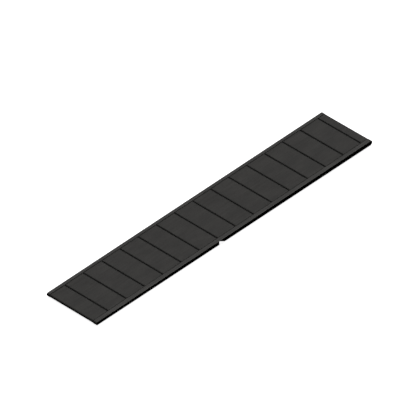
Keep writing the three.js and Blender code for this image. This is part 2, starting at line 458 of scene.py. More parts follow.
@dataclass(frozen=True)
class CutEdge:
    """The face of a knife cut through the belt: black rubber with the ends of two cloth plies.

    Attributes:
        outer_height: Height of the belt's outer face in the lower run.
        thickness: Thickness of the belt.
        plies: Depth of the middle of each ply, as a share of the thickness.
        ply_half: Half the thickness of a ply, as the same share.
        rubber: Colour of the rubber.
        thread: Colour of the cut threads.
    """

    outer_height: float
    thickness: float
    plies: tuple[float, float] = (0.36, 0.72)
    ply_half: float = 0.075
    rubber: Colour = (0.018, 0.017, 0.016, 1.0)
    thread: Colour = (0.30, 0.27, 0.21, 1.0)

    def make(self) -> Material:
        """Build the material.

        Returns:
            The material.
        """
        board = Board("cut_edge")
        place = board.place()
        height = board.add("SeparateXYZ", inputs={"Vector": place}).outputs[2]
        depth = board.math("DIVIDE", board.math("SUBTRACT", height, self.outer_height), self.thickness)
        wander = board.math("MULTIPLY", board.noise(place, 180.0), 0.08)
        depth = board.math("ADD", depth, wander)
        lines = [board.math("COMPARE", depth, middle) for middle in self.plies]
        for line in lines:
            line.node.inputs[2].default_value = self.ply_half
        plies = board.math("MAXIMUM", *lines)
        threads = board.band(board.noise(place, 1400.0, 2.0), 0.4, 0.6, 0.35, 1.0)
        colour = board.mix(board.math("MULTIPLY", plies, threads), self.rubber, self.thread)
        relief = board.bump(board.noise(place, 700.0), 0.25 * MM)
        return board.finish(colour, board.band(threads, 0.3, 1.0, 0.7, 0.92), relief)


@dataclass(frozen=True)
class MouldedRubber:
    """Press-moulded rubber, smoother than the belt, scuffed paler where it is worn.

    Attributes:
        name: The material's name.
        base: Colour of the moulded skin.
        worn: Colour where the wear attribute is full.
        roughness: Lowest and highest roughness.
        shine: Strength of the highlight.
        drag_scale: Scratches in a metre by axis.
        drag_depth: Depth of the scratches.
        grain_depth: Depth of the moulded grain.
    """

    name: str
    base: Colour
    worn: Colour
    roughness: tuple[float, float]
    shine: float
    drag_scale: Axes = (260.0, 14.0, 90.0)
    drag_depth: float = 0.08 * MM
    grain_depth: float = 0.10 * MM

    def make(self) -> Material:
        """Build the material.

        Returns:
            The material.
        """
        board = Board(self.name)
        place = board.place()
        cloud = board.noise(place, 9.0, 5.0)
        grain = board.noise(place, 420.0, 3.0)
        drag = board.drawn(place, self.drag_scale, 3.0)
        wear = board.add("Attribute", {"attribute_name": WEAR}).outputs["Fac"]
        wear_and_painted_highlight = board.math("MULTIPLY", wear, board.band(drag, 0.3, 0.62, 0.15, 1.0))
        skin = board.mix(board.band(cloud, 0.3, 0.7), scaled(self.base, 0.72), self.base)
        colour = board.mix(board.math("MULTIPLY", wear_and_painted_highlight, 0.8), skin, self.worn)
        settled = board.band(cloud, 0.4, 0.65, 0.0, 0.35)
        dust = board.math("MULTIPLY", board.band(grain, 0.55, 0.75), settled)
        colour = board.mix(dust, colour, self.worn)
        rough = board.band(board.math("ADD", cloud, wear_and_painted_highlight), 0.3, 1.4, *self.roughness)
        relief = board.bump(grain, self.grain_depth)
        relief = board.bump(drag, self.drag_depth, relief)
        return board.finish(colour, rough, relief, self.shine)


@dataclass(frozen=True)
class Steel:
    """Pressed or drawn steel with fine tool lines, dulled by handling and a little rust.

    Attributes:
        name: The material's name.
        bright: Colour of the clean metal.
        grain: Tool lines in a metre by axis.
        rusted: Colour of the rust.
    """

    name: str
    bright: Colour
    grain: Axes
    rusted: Colour = (0.12, 0.055, 0.028, 1.0)

    def make(self) -> Material:
        """Build the material.

        Returns:
            The material.
        """
        board = Board(self.name)
        place = board.place()
        lines = board.drawn(place, self.grain, 4.0)
        stains = board.noise(place, 60.0, 5.0, 0.65)
        rust = board.band(stains, 0.62, 0.78, 0.0, 0.75)
        metal = board.mix(board.band(lines, 0.35, 0.65), scaled(self.bright, 0.62), self.bright)
        colour = board.mix(rust, metal, self.rusted)
        polished = board.band(lines, 0.3, 0.7, 0.26, 0.46)
        rough = board.math("MAXIMUM", polished, board.math("MULTIPLY", rust, 1.1))
        board.feed(board.shader.inputs["Metallic"], board.band(rust, 0.2, 0.7, 1.0, 0.25))
        return board.finish(colour, rough, board.bump(lines, 0.04 * MM))


@dataclass(frozen=True)
class FibreRod:
    """Pultruded glass fibre: pale resin with long fibres.

    Attributes:
        name: The material's name.
        resin: Colour of the resin.
        fibre: Colour of the fibres.
        grain: Fibres in a metre by axis.
    """

    name: str = "fibre_rod"
    resin: Colour = (0.36, 0.33, 0.22, 1.0)
    fibre: Colour = (0.62, 0.60, 0.48, 1.0)
    grain: Axes = (1600.0, 30.0, 1600.0)

    def make(self) -> Material:
        """Build the material.

        Returns:
            The material.
        """
        board = Board(self.name)
        fibres = board.drawn(board.place(), self.grain, 2.0)
        colour = board.mix(board.band(fibres, 0.35, 0.65), self.resin, self.fibre)
        rough = board.band(fibres, 0.3, 0.7, 0.35, 0.6)
        return board.finish(colour, rough, board.bump(fibres, 0.05 * MM))


@dataclass(frozen=True)
class Finishes:
    """Every material of the belt, made once and shared by its pieces."""

    panel: tuple[Material, ...]
    cleat: Material
    guide: Material
    rod: Material
    clip: Material
    staple: Material
    pin: Material

    @classmethod
    def make(cls, layout: "LoopLayout") -> "Finishes":
        """Build all the materials.

        Args:
            layout: The loop, as it is laid out in the frame.

        Returns:
            The finishes.
        """
        dust = rgb(0.105, 0.098, 0.086)
        cover = BeltRubber(
            name="cover_rubber",
            base=rgb(0.0292, 0.0276, 0.0254),
            dust=dust,
            dustiness=0.16,
            weave_pitch=1.4 * MM,
            weave_depth=0.10 * MM,
            roughness=(0.62, 0.86),
        )
        inner = BeltRubber(
            name="inner_cloth",
            base=rgb(0.034, 0.032, 0.029),
            dust=dust,
            dustiness=0.28,
            weave_pitch=2.2 * MM,
            weave_depth=0.35 * MM,
            roughness=(0.78, 0.95),
        )
        # Band rubber, with a painted highlight along the belt's outer edge beyond edge_at.
        band = BeltRubber(
            name="band_rubber",
            base=rgb(0.0322, 0.0304, 0.0280),
            dust=dust,
            dustiness=0.22,
            weave_pitch=1.4 * MM,
            weave_depth=0.05 * MM,
            roughness=(0.55, 0.8),
            edge_at=510 * MM,
        )
        # Painted shade: the groove beside each band is made near black, a fifth as bright as the cover,
        # for the shade that falls in it.
        groove = BeltRubber(
            name="groove_painted_shade",
            base=rgb(0.006, 0.006, 0.0055),
            dust=dust,
            dustiness=0.02,
            weave_pitch=1.4 * MM,
            weave_depth=0.05 * MM,
            roughness=(0.8, 0.95),
        )
        # Cleat rubber: partly its own dark colour and partly painted shade. It is made about half as
        # bright as the cover so that bar and foot read as the dark line of the cleat's shaded side and
        # its shadow.
        cleat = MouldedRubber(
            name="cleat_rubber",
            base=rgb(0.0145, 0.0140, 0.0131),
            worn=rgb(0.024, 0.0232, 0.0214),
            roughness=(0.5, 0.78),
            shine=0.12,
        )
        guide = MouldedRubber(
            name="guide_rubber",
            base=rgb(0.020, 0.0195, 0.019),
            worn=rgb(0.055, 0.053, 0.05),
            roughness=(0.42, 0.7),
            shine=0.4,
        )
        cut = CutEdge(layout.lower_outer_height, layout.section.thickness)
        return cls(
            panel=(cover.make(), inner.make(), band.make(), cut.make(), groove.make()),
            cleat=cleat.make(),
            guide=guide.make(),
            rod=FibreRod().make(),
            clip=Steel("clip_steel", rgb(0.50, 0.49, 0.47), (90.0, 2400.0, 900.0)).make(),
            staple=Steel("staple_steel", rgb(0.62, 0.61, 0.59), (1400.0, 140.0, 1400.0)).make(),
            pin=Steel("pin_steel", rgb(0.55, 0.54, 0.52), (1100.0, 260.0, 1100.0)).make(),
        )


# ---- Layout of the loop -------------------------------------------------------------------


@dataclass(frozen=True)
class BeltSection:
    """The belt cut across: a flat carcass with a raised band along each edge.

    Attributes:
        half_width: Half the belt's width.
        thickness: Thickness of the carcass.
        band_height: How far the edge bands stand proud.
        far_band: Width of the band along the far edge.
        near_band: Width of the band along the near edge.
        groove_width: Width of the groove beside each band.
        groove_depth: Depth of that groove.
        edge_round: Round of the belt's outer corners.
    """

    half_width: float = 520 * MM
    thickness: float = 4 * MM
    band_height: float = 3 * MM
    far_band: float = 58 * MM
    near_band: float = 70 * MM
    groove_width: float = 10 * MM
    groove_depth: float = 1.2 * MM
    edge_round: float = 1.4 * MM

    @property
    def far_inner(self) -> float:
        """Where the far band ends, in Y."""
        return self.half_width - self.far_band

    @property
    def near_inner(self) -> float:
        """Where the near band ends, in Y."""
        return self.near_band - self.half_width

    def outline(self) -> list[Vector]:
        """Draw the outline.

        Returns:
            Its corners in Y and in height above the outer face, once round.
        """
        far_inner = self.far_inner
        near_inner = self.near_inner
        slope = self.groove_depth
        points = [
            (-self.half_width, -self.thickness),
            (-self.half_width, self.band_height),
            (near_inner - slope, self.band_height),
            (near_inner, -self.groove_depth),
            (near_inner + self.groove_width, -self.groove_depth),
            (near_inner + self.groove_width + slope, 0.0),
            (far_inner - self.groove_width - slope, 0.0),
            (far_inner - self.groove_width, -self.groove_depth),
            (far_inner, -self.groove_depth),
            (far_inner + slope, self.band_height),
            (self.half_width, self.band_height),
            (self.half_width, -self.thickness),
        ]
        return [Vector((0.0, y, height)) for y, height in points]

    def face_kind(self, y: float, height: float, normal: Vector) -> Face:
        """Which finish a face of the panel wears.

        Args:
            y: The face's middle, across the belt.
            height: The face's middle, above the outer face.
            normal: The face's direction, with X as the travel and Z outwards.

        Returns:
            The finish.
        """
        if abs(normal.x) > 0.5:
            return Face.CUT
        if height < NEAR - self.thickness and normal.z < -0.5:
            return Face.INNER
        if y > self.far_inner or y < self.near_inner:
            return Face.BAND
        if height < -NEAR:
            return Face.GROOVE
        return Face.COVER


@dataclass(frozen=True)
class LoopLayout:
    """Where the two runs and the two end bends lie, measured from the frame.

    Attributes:
        section: The belt's section.
        left: Centre of the left bend.
        right: Centre of the right bend.
        left_radius: Radius of the outer face round the left bend.
        right_radius: Radius of the outer face round the right bend.
    """

    section: BeltSection
    left: Vector
    right: Vector
    left_radius: float
    right_radius: float

    @classmethod
    def from_frame(cls, section: BeltSection) -> "LoopLayout":
        """Measure the layout from the CAD nodes.

        Args:
            section: The belt's section.

        Returns:
            The layout.
        """
        left_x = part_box("lower_left_tracking_guide")[0].x
        right_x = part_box("lower_right_tracking_guide")[1].x
        outer_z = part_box("lower_left_belt_run")[0].z + section.band_height
        left_end = min(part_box(f"left_bend_{word}_half")[0].x for word in HALVES)
        right_end = max(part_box(f"right_bend_{word}_half")[1].x for word in HALVES)
        left_radius = left_x - left_end - section.band_height
        right_radius = right_end - right_x - section.band_height
        left = Vector((left_x, 0.0, outer_z + left_radius))
        right = Vector((right_x, 0.0, outer_z + right_radius))
        return cls(section, left, right, left_radius, right_radius)

    @property
    def run_length(self) -> float:
        """Length of each straight run."""
        return self.right.x - self.left.x

    @property
    def lower_outer_height(self) -> float:
        """Height of the lower run's outer face."""
        return self.left.z - self.left_radius

    @property
    def tilt(self) -> float:
        """How steeply the upper run climbs towards the right."""
        return 2 * math.atan((self.right_radius - self.left_radius) / self.run_length)

    @property
    def left_wrap(self) -> float:
        """Angle that the belt turns through at the left end."""
        return math.pi - self.tilt

    @property
    def right_wrap(self) -> float:
        """Angle that the belt turns through at the right end."""
        return math.pi + self.tilt

    def upper_start(self) -> Matrix:
        """The upper run's upstream end: X is the travel, Z points out of the loop."""
        turn = Matrix.Rotation(-self.tilt, 4, "Y")
        return Matrix.Translation(self.left) @ turn @ Matrix.Translation((0.0, 0.0, self.left_radius))

    def lower_start(self) -> Matrix:
        """The lower run's upstream end, under the right bend."""
        turn = Matrix.Rotation(math.pi, 4, "Y")
        return Matrix.Translation(self.right) @ turn @ Matrix.Translation((0.0, 0.0, self.right_radius))


@dataclass(frozen=True)
class Stretch:
    """One stretch of the loop: straight where radius is None, and otherwise an arc.

    Attributes:
        start: Its upstream end in the frame.
        extent: Length in metres, or angle in radians.
        distance: Metres along the loop at its upstream end.
        radius: Radius of the outer face, or None.
    """

    start: Matrix
    extent: float
    distance: float
    radius: float | None = None

    def read(self, point: Vector, thickness: float) -> tuple[float, float, float]:
        """Read a point in the stretch's own axes as the belt's surface sees it.

        Args:
            point: The point, with X as the travel at the upstream end.
            thickness: Thickness of the belt, whose middle keeps its length in a bend.

        Returns:
            Metres along the loop, metres across it, and height above the outer face.
        """
        if self.radius is None:
            return self.distance + point.x, point.y, point.z
        reach = math.hypot(point.x, point.z + self.radius)
        angle = math.atan2(point.x, point.z + self.radius)
        return self.distance + angle * (self.radius - thickness / 2), point.y, reach - self.radius

    def at(self, share: float, height: float) -> Vector:
        """Find a point of the stretch.

        Args:
            share: Its share of the way, from 0 to 1.
            height: Its height above the outer face.

        Returns:
            The point in the frame.
        """
        if self.radius is None:
            return self.start @ Vector((share * self.extent, 0.0, height))
        angle = share * self.extent
        reach = self.radius + height
        local = Vector((reach * math.sin(angle), 0.0, reach * math.cos(angle) - self.radius))
        return self.start @ local


# ---- Belt panels and bends ----------------------------------------------------------------


@dataclass
class BeltPanels:
    """The three flat panels of the carcass, with the splice cut out of the lower run.

    Attributes:
        layout: Where the belt lies.
        finishes: Its materials.
        belt_end_gap: Distance from the pin to each belt end.
        corner_cut: How much of each belt end's corners is cut off.
        arc_steps: Facets along a strip of a bend.
        corner_facets: Facets round the belt's outer corners.
    """

    layout: LoopLayout
    finishes: Finishes
    belt_end_gap: float = 6 * MM
    corner_cut: float = 55 * MM
    arc_steps: int = 16
    corner_facets: int = 4

    def swept(self, stretch: Stretch) -> Mesh:
        """Sweep the section along a stretch, closed at both ends.

        Args:
            stretch: The stretch to cover.

        Returns:
            A closed mesh in the stretch's own axes.
        """
        section = self.layout.section
        bm = bmesh.new()
        face = outline_face(bm, section.outline())
        corners = [v for v in face.verts if abs(v.co.y) > section.half_width - MM]
        bmesh.ops.bevel(
            bm,
            geom=corners,
            offset=section.edge_round,
            segments=self.corner_facets,
            profile=0.5,
            affect="VERTICES",
            material=-1,
        )
        face = bm.faces[:][0]
        if stretch.radius is None:
            extrude_along(bm, face, Vector((stretch.extent, 0.0, 0.0)))
        else:
            bmesh.ops.duplicate(bm, geom=[face])
            bmesh.ops.spin(
                bm,
                geom=[face] + face.edges[:] + face.verts[:],
                cent=(0.0, 0.0, -stretch.radius),
                axis=(0.0, 1.0, 0.0),
                angle=stretch.extent,
                steps=self.arc_steps,
                use_merge=False,
            )
            bmesh.ops.remove_doubles(bm, verts=bm.verts[:], dist=MERGE)
        bmesh.ops.recalc_face_normals(bm, faces=bm.faces[:])
        return bm

    def dress(self, bm: Mesh, stretch: Stretch) -> None:
        """Give each face its finish and its place on the surface map.

        Args:
            bm: The mesh in the stretch's own axes.
            stretch: The stretch that it covers.
        """
        section = self.layout.section
        layer = bm.loops.layers.uv.new(SURFACE_MAP)
        for face in bm.faces:
            middle = face.calc_center_median()
            _, y, height = stretch.read(middle, section.thickness)
            normal = face.normal.copy()
            if stretch.radius is not None:
                turned = math.atan2(middle.x, middle.z + stretch.radius)
                normal.rotate(Matrix.Rotation(-turned, 3, "Y"))
            face.material_index = section.face_kind(y, height, normal)
            for loop in face.loops:
                along, y, height = stretch.read(loop.vert.co, section.thickness)
                loop[layer].uv = (along, y + height)

    def piece(self, bm: Mesh, stretch: Stretch, name: str) -> Piece:
        """Dress a swept mesh and put it in the frame.

        Args:
            bm: The mesh in the stretch's own axes.
            stretch: The stretch that it covers.
            name: The piece's name.

        Returns:
            The piece, not yet riding on anything.
        """
        self.dress(bm, stretch)
        bmesh.ops.transform(bm, matrix=stretch.start, verts=bm.verts[:])
        piece = to_object(bm, name, list(self.finishes.panel))
        return piece

    def trimmed(self, bm: Mesh, splice: float, side: int) -> None:
        """Cut a lower panel to its belt end, with both corners off at 45 degrees.

        Args:
            bm: The panel in the run's own axes.
            splice: Metres from the run's upstream end to the pin.
            side: 1 for the panel upstream of the splice, -1 for the one downstream.
        """
        half = self.layout.section.half_width
        end = splice - side * self.belt_end_gap
        cuts = [
            (Vector((end, 0.0, 0.0)), Vector((side, 0.0, 0.0))),
            (Vector((end, half - self.corner_cut, 0.0)), Vector((side, 1.0, 0.0))),
            (Vector((end, self.corner_cut - half, 0.0)), Vector((side, -1.0, 0.0))),
        ]
        for point, outwards in cuts:
            everything = bm.verts[:] + bm.edges[:] + bm.faces[:]
            made = bmesh.ops.bisect_plane(
                bm, geom=everything, plane_co=point, plane_no=outwards.normalized(), clear_outer=True
            )
            rim = [item for item in made["geom_cut"] if isinstance(item, bmesh.types.BMEdge)]
            bmesh.ops.holes_fill(bm, edges=rim, sides=0)
        bmesh.ops.recalc_face_normals(bm, faces=bm.faces[:])

    def build(self) -> None:
        """Make the upper panel and both lower panels."""
        layout = self.layout
        upper = Stretch(layout.upper_start(), layout.run_length, 0.0)
        panel = self.piece(self.swept(upper), upper, "upper_panel")
        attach(panel, "upper_run")
        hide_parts("upper_belt_run")
        log.info("upper_panel %.3f m long", upper.extent)
        middle = layout.section.thickness / 2
        before = layout.run_length + layout.right_wrap * (layout.right_radius - middle)
        lower = Stretch(layout.lower_start(), layout.run_length, before)
        pin_low, pin_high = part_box("splice_hinge_pin")
        splice = layout.right.x - (pin_low.x + pin_high.x) / 2
        for word, side in (("right", 1), ("left", -1)):
            bm = self.swept(lower)
            self.trimmed(bm, splice, side)
            panel = self.piece(bm, lower, f"lower_{word}_panel")
            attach(panel, f"lower_{word}_run")
            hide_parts(f"lower_{word}_belt_run")
            log.info("lower_%s_panel, cut for the splice", word)


@dataclass(frozen=True)
class BendStrip:
    """Half of an end bend, which turns from one body to the next.

    Attributes:
        name: The strip's name.
        stretch: Where it lies.
        bodies: The body before it and the body after it.
        half: Start of the names of the CAD half bend and tooth that it stands for.
        curve: The CAD end of the run, which it stands for too.
        tooth_share: Where along the strip the middle of that half lies, from 0 to 1.
    """

    name: str
    stretch: Stretch
    bodies: tuple[str, str]
    half: str
    curve: str
    tooth_share: float

    def bend(self, piece: Piece, depth: float) -> None:
        """Bake a piece's place into its mesh. It is not set to turn with the belt.

        Args:
            piece: The strip itself, or a guide tooth under it.
            depth: Depth of the middle of the belt under its outer face.
        """
        first = self.stretch.at(TURN_STARTS, -depth)
        last = self.stretch.at(1.0 - TURN_STARTS, -depth)
        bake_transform(piece)


@dataclass
class EndBends:
    """Both half-round ends. Each is two strips.

    Attributes:
        layout: Where the belt lies.
        panels: The sweep that the strips share with the flat panels.
    """

    layout: LoopLayout
    panels: BeltPanels

    def strips(self) -> list[BendStrip]:
        """Lay out the strips.

        Returns:
            The four strips, in the direction of travel.
        """
        layout = self.layout
        run = Matrix.Translation((layout.run_length, 0.0, 0.0))
        middle = layout.section.thickness / 2
        right_arc = layout.right_wrap * (layout.right_radius - middle)
        after_right = layout.run_length + right_arc
        before_left = after_right + layout.run_length
        right = ("right", layout.upper_start(), layout.right_radius, layout.right_wrap, layout.run_length)
        left = ("left", layout.lower_start(), layout.left_radius, layout.left_wrap, before_left)
        made = []
        for side, run_start, radius, wrap, distance in (right, left):
            entry = run_start @ run
            bodies = ["upper_run", f"{side}_bend", f"lower_{side}_run"]
            words = list(HALVES)
            if side == "left":
                bodies.reverse()
                words.reverse()
            down = Matrix.Translation((0.0, 0.0, -radius))
            for index, word in enumerate(words):
                share = wrap / 2
                turn = Matrix.Rotation(share * index, 4, "Y")
                start = entry @ down @ turn @ down.inverted()
                along = distance + index * share * (radius - middle)
                stretch = Stretch(start, share, along, radius)
                half = f"{side}_bend_{word}"
                pair = (bodies[index], bodies[index + 1])
                curve = f"{word}_{side}_curve"
                tooth_share = TOOTH_SHARES[1 - index]
                made.append(BendStrip(f"{half}_strip", stretch, pair, half, curve, tooth_share))
        return made

    def build(self) -> None:
        """Make every strip."""
        for strip in self.strips():
            piece = self.panels.piece(self.panels.swept(strip.stretch), strip.stretch, strip.name)
            strip.bend(piece, self.layout.section.thickness / 2)
            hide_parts(f"{strip.half}_half", strip.curve)
            log.info("%s bends from %s to %s", strip.name, *strip.bodies)


# ---- Cleats -------------------------------------------------------------------------------


@dataclass
class Cleats:
    """The cross cleats: a moulded bar on a wide foot, with a stiffener rod inside.

    Attributes:
        layout: Where the belt lies.
        finishes: Its materials.
        foot_width: Width of the moulded foot, made wide so that its dark rubber also lays painted shade
            on the belt beside the bar.
        foot_height: Height of the foot beside the bar.
        lip_height: Height of the foot's outer lip.
        root_width: Width of the bar just over the foot.
        root_height: Height where the bar's straight flank starts.
        root_flare: How far the bar flares out to the foot.
        crest_width: Width of the bar's crest.
        height: Height of the crest above the belt.
        crest_round: Round along the crest.
        end_round: Round at the bar's ends.
        rod_radius: Radius of the stiffener rod.
        rod_height: Height of its middle above the belt.
        rod_stub: How far it sticks out of the bar.
        rod_round: Round at its ends.
        sink: How deep the foot goes into the belt.
        wear_starts: Share of the height where the wear starts.
        wear_span: Share of the height over which it becomes full.
    """

    layout: LoopLayout
    finishes: Finishes
    foot_width: float = 44 * MM
    foot_height: float = 1.1 * MM
    lip_height: float = 0.33 * MM
    root_width: float = 18 * MM
    root_height: float = 2.86 * MM
    root_flare: float = 1.5 * MM
    crest_width: float = 9 * MM
    height: float = 12 * MM
    crest_round: float = 2.4 * MM
    end_round: float = 1.6 * MM
    rod_radius: float = 2.6 * MM
    rod_height: float = 5.2 * MM
    rod_stub: float = 2.5 * MM
    rod_round: float = 0.4 * MM
    sink: float = 0.3 * MM
    wear_starts: float = 0.72
    wear_span: float = 0.26

    def moulding(self, length: float) -> Mesh:
        """Mould the rubber bar, standing on the outer face and centred on its own middle.

        Args:
            length: Length across the belt.

        Returns:
            A closed mesh: X is the travel, Y runs across, Z is up from the belt.
        """
        bm = bmesh.new()
        half = [
            (self.foot_width / 2, -self.sink),
            (self.foot_width / 2, self.lip_height),
            (self.root_width / 2 + self.root_flare, self.foot_height),
            (self.root_width / 2, self.root_height),
            (self.crest_width / 2, self.height),
        ]
        points = [Vector((x, -length / 2, z)) for x, z in half]
        points += [Vector((-x, -length / 2, z)) for x, z in reversed(half)]
        face = outline_face(bm, points)
        extrude_along(bm, face, Vector((0.0, length, 0.0)))
        bmesh.ops.recalc_face_normals(bm, faces=bm.faces[:])
        crest = [e for e in bm.edges if all(v.co.z > self.height - NEAR for v in e.verts)]
        along = [e for e in crest if abs(e.verts[0].co.y - e.verts[1].co.y) > length / 2]
        rounded(bm, along, self.crest_round, 4)
        ends = [
            e
            for e in bm.edges
            if all(abs(v.co.y) > length / 2 - NEAR for v in e.verts)
            and all(v.co.z > 2 * self.foot_height for v in e.verts)
            and e.verts[0].co.y * e.verts[1].co.y > 0
        ]
        rounded(bm, ends, self.end_round, 3)
        return bm

    def mark_wear(self, piece: Piece, back: Matrix) -> None:
        """Write how worn each point is: full at the crest, nothing at the foot.

        Args:
            piece: The bar in its place in the frame.
            back: Takes a point of the frame to the bar's own axes.
        """
        worn = piece.data.attributes.new(WEAR, "FLOAT", "POINT")
        for vertex, value in zip(piece.data.vertices, worn.data):
            height = (back @ vertex.co).z / self.height
            value.value = min(1.0, max(0.0, (height - self.wear_starts) / self.wear_span))

    def rod(self, length: float) -> Mesh:
        """Make the stiffener rod, a little longer than the bar, with its ends broken.

        Args:
            length: Length of the bar.

        Returns:
            A closed mesh in the bar's own axes.
        """
        bm = bmesh.new()
        bmesh.ops.create_cone(
            bm,
            cap_ends=True,
            segments=20,
            radius1=self.rod_radius,
            radius2=self.rod_radius,
            depth=length + 2 * self.rod_stub,
        )
        rims = [e for e in bm.edges if abs(e.verts[0].co.z - e.verts[1].co.z) < MM]
        rounded(bm, rims, self.rod_round, 2)
        bmesh.ops.rotate(bm, verts=bm.verts[:], matrix=Matrix.Rotation(math.pi / 2, 3, "X"))
        bmesh.ops.translate(bm, verts=bm.verts[:], vec=(0.0, 0.0, self.rod_height))
        return bm

    def cleat(self, node: str, start: Matrix, body: str) -> None:
        """Make one cleat and its rod where a CAD cleat stands.

        Args:
            node: The CAD cleat.
            start: The upstream end of its run.
            body: The body it rides on.
        """
        low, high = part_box(node)
        middle = (low + high) / 2
        station = (start.inverted() @ Vector((middle.x, 0.0, middle.z))).x
        place = start @ Matrix.Translation((station, middle.y, 0.0))
        length = high.y - low.y
        bar = self.moulding(length)
        bmesh.ops.transform(bar, matrix=place, verts=bar.verts[:])
        piece = to_object(bar, f"{node}_bar", [self.finishes.cleat])
        self.mark_wear(piece, place.inverted())
        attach(piece, body)
        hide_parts(node)
        core = self.rod(length)
        bmesh.ops.transform(core, matrix=place, verts=core.verts[:])
        stick = to_object(core, f"{node}_rod", [self.finishes.rod])
        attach(stick, body)

    def build(self) -> None:
        """Make every cleat that the frame holds."""
        runs = {
            "upper_run": self.layout.upper_start(),
            "lower_right_run": self.layout.lower_start(),
            "lower_left_run": self.layout.lower_start(),
        }
        for body, start in runs.items():
            members = frame["record"]["behaviour"]["bodies"][body]
            nodes = [node for node in members if "_cleat_" in node]
            for node in nodes:
                self.cleat(node, start, body)
            log.info("%d cleats on %s", len(nodes), body)


# ---- Guide strip --------------------------------------------------------------------------


